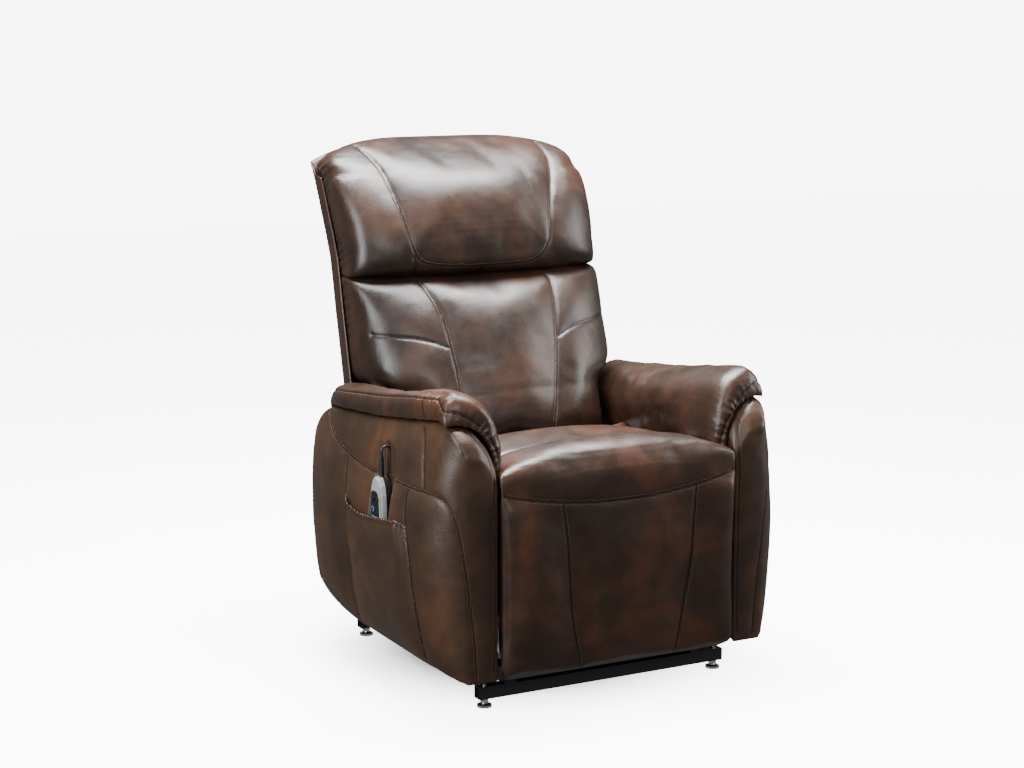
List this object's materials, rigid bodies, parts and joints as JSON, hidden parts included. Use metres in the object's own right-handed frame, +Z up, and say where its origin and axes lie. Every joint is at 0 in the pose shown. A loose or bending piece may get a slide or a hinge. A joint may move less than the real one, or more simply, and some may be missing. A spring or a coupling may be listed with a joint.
{
  "type": "lift recliner chair",
  "caption": "Leather power lift recliner armchair with a tilting base linkage, reclining back, scissor footrest and a wired handset in a side pocket.",
  "frame": {"origin": "centre of the footprint on the floor, under the middle of the bounding box", "axes": "+Z up, the chair faces -Y, +X is the sitter's left"},
  "size_m": [0.8283, 0.8557, 1.077],
  "materials": {
    "leather": "two-tone dark brown, semi-gloss, fine grain",
    "timber": "plain plywood and sawn timber",
    "plated_steel": "bright plating",
    "zinc_steel": "zinc plated",
    "black_plastic": "moulded, fine texture",
    "silver_plastic": "silver lacquer",
    "handset_black": "satin",
    "cord_rubber": "matte",
    "black_steel": "black powder coat"
  },
  "bodies": {
    "base": {"base_front_bar": "black_steel", "base_rear_bar": "black_steel", "base_left_rail": "black_steel", "base_right_rail": "black_steel", "levelling_feet": "plated_steel", "base_pivot_bolts": "zinc_steel", "power_supply": "black_plastic"},
    "lift_links": {"lift_link_left": "black_steel", "lift_link_right": "black_steel", "lift_torque_tube": "black_steel"},
    "front_links": {"front_link_left": "black_steel", "front_link_right": "black_steel"},
    "chair": {"mechanism_left_rail": "black_steel", "mechanism_right_rail": "black_steel", "front_cross_tube": "black_steel", "rear_cross_tube": "black_steel", "chair_pivot_bolts": "zinc_steel", "left_arm_frame": "timber", "right_arm_frame": "timber", "left_arm_cover": "leather", "right_arm_cover": "leather", "left_arm_pad": "leather", "right_arm_pad": "leather", "seat_frame": "timber", "seat_springs": "plated_steel", "seat_cushion": "leather", "rear_panel": "black_plastic", "control_box": "black_plastic", "handset_pocket": "leather"},
    "back": {"back_frame": "timber", "back_brackets": "black_steel", "outside_back": "leather", "head_cushion": "leather", "lumbar_cushion": "leather"},
    "lift_motor_body": {"lift_motor": "black_plastic"},
    "lift_rod_body": {"lift_motor_rod": "plated_steel"},
    "back_motor_body": {"back_motor": "black_plastic"},
    "back_rod_body": {"back_motor_rod": "plated_steel"},
    "footrest_motor_body": {"footrest_motor": "black_plastic"},
    "footrest_rod_body": {"footrest_motor_rod": "plated_steel"},
    "footrest": {"footrest_board": "timber", "footrest_pad": "leather", "footrest_brackets": "black_steel"},
    "swing_arms": {"swing_arm_left": "black_steel", "swing_arm_right": "black_steel"},
    "drive_arms": {"drive_arm_left": "black_steel", "drive_arm_right": "black_steel", "footrest_torque_tube": "black_steel"},
    "couplers": {"coupler_left": "black_steel", "coupler_right": "black_steel"},
    "stays": {"stay_left": "black_steel", "stay_right": "black_steel"},
    "handset": {"handset_front": "silver_plastic", "handset_rear": "handset_black", "strain_relief": "cord_rubber", "handset_cord": "cord_rubber"},
    "back_up_key": {"button_back_up": "handset_black"},
    "back_down_key": {"button_back_down": "handset_black"},
    "lift_up_key": {"button_lift_up": "handset_black"},
    "lift_down_key": {"button_lift_down": "handset_black"}
  },
  "joints": [
    {"name": "lift", "type": "hinge", "parent": "base", "child": "lift_links", "pos_m": [0, -0.1879, 0.094], "axis": [1, 0, 0], "range_deg": [0, 43.74]},
    {"name": "chair_tilt", "type": "hinge", "parent": "lift_links", "child": "chair", "pos_m": [0, 0.2121, 0.064], "axis": [1, 0, 0], "range_deg": [-17.8, 0.05]},
    {"name": "front_link_swing", "type": "hinge", "parent": "base", "child": "front_links", "pos_m": [0, -0.2239, 0.09], "axis": [1, 0, 0], "range_deg": [0, 50.2]},
    {"name": "lift_motor_swing", "type": "hinge", "parent": "base", "child": "lift_motor_body", "pos_m": [0, -0.2379, 0.114], "axis": [1, 0, 0], "range_deg": [0, 41.9]},
    {"name": "lift_motor_stroke", "type": "slide", "parent": "lift_motor_body", "child": "lift_rod_body", "axis": [0, 0.6236, 0.7817], "range_m": [0, 0.0777]},
    {"name": "back_recline", "type": "hinge", "parent": "chair", "child": "back", "pos_m": [0, 0.1421, 0.405], "axis": [-1, 0, 0], "range_deg": [0, 38]},
    {"name": "back_motor_swing", "type": "hinge", "parent": "chair", "child": "back_motor_body", "pos_m": [0.09, -0.0912, 0.332], "axis": [-1, 0, 0], "range_deg": [0, 6.2]},
    {"name": "back_motor_stroke", "type": "slide", "parent": "back_motor_body", "child": "back_rod_body", "axis": [0, 0.999, 0.045], "range_m": [-0.0445, 0]},
    {"name": "footrest_swing", "type": "hinge", "parent": "chair", "child": "footrest", "pos_m": [0, -0.4199, 0.43], "axis": [-1, 0, 0], "range_deg": [0, 80]},
    {"name": "swing_arm_turn", "type": "hinge", "parent": "chair", "child": "swing_arms", "pos_m": [0, -0.2509, 0.31], "axis": [-1, 0, 0], "range_deg": [0, 80]},
    {"name": "drive_arm_turn", "type": "hinge", "parent": "chair", "child": "drive_arms", "pos_m": [0, -0.3059, 0.345], "axis": [-1, 0, 0], "range_deg": [0, 80]},
    {"name": "coupler_turn", "type": "hinge", "parent": "drive_arms", "child": "couplers", "pos_m": [0, -0.2459, 0.205], "axis": [-1, 0, 0], "range_deg": [-80, 0]},
    {"name": "stay_turn", "type": "hinge", "parent": "drive_arms", "child": "stays", "pos_m": [0, -0.2309, 0.14], "axis": [-1, 0, 0], "range_deg": [-80, 0]},
    {"name": "footrest_motor_swing", "type": "hinge", "parent": "chair", "child": "footrest_motor_body", "pos_m": [-0.09, -0.0479, 0.32], "axis": [-1, 0, 0], "range_deg": [0, 6.6]},
    {"name": "footrest_motor_stroke", "type": "slide", "parent": "footrest_motor_body", "child": "footrest_rod_body", "axis": [0, -0.9923, -0.1242], "range_m": [0, 0.059]},
    {"name": "handset_lift", "type": "slide", "parent": "chair", "child": "handset", "axis": [0, 0, 1], "range_m": [0, 0.15]},
    {"name": "back_up_press", "type": "slide", "parent": "handset", "child": "back_up_key", "axis": [1, 0, 0], "range_m": [0, 0.001], "stiffness_N_per_m": 1500},
    {"name": "back_down_press", "type": "slide", "parent": "handset", "child": "back_down_key", "axis": [1, 0, 0], "range_m": [0, 0.001], "stiffness_N_per_m": 1500},
    {"name": "lift_up_press", "type": "slide", "parent": "handset", "child": "lift_up_key", "axis": [1, 0, 0], "range_m": [0, 0.001], "stiffness_N_per_m": 1500},
    {"name": "lift_down_press", "type": "slide", "parent": "handset", "child": "lift_down_key", "axis": [1, 0, 0], "range_m": [0, 0.001], "stiffness_N_per_m": 1500}
  ],
  "couplings": [
    {"joint": "chair_tilt", "follows": "lift", "ratio": -0.4056},
    {"joint": "front_link_swing", "follows": "lift", "ratio": 1.1454},
    {"joint": "lift_motor_swing", "follows": "lift", "ratio": 0.9556},
    {"joint": "lift_motor_stroke", "follows": "lift", "m_per_rad": 0.10165},
    {"joint": "back_motor_swing", "follows": "back_recline", "ratio": 0.16184},
    {"joint": "back_motor_stroke", "follows": "back_recline", "m_per_rad": -0.06695},
    {"joint": "swing_arm_turn", "follows": "footrest_swing", "ratio": 1},
    {"joint": "drive_arm_turn", "follows": "footrest_swing", "ratio": 1},
    {"joint": "coupler_turn", "follows": "footrest_swing", "ratio": -1},
    {"joint": "stay_turn", "follows": "footrest_swing", "ratio": -1},
    {"joint": "footrest_motor_swing", "follows": "footrest_swing", "ratio": 0.082},
    {"joint": "footrest_motor_stroke", "follows": "footrest_swing", "m_per_rad": 0.04218}
  ]
}
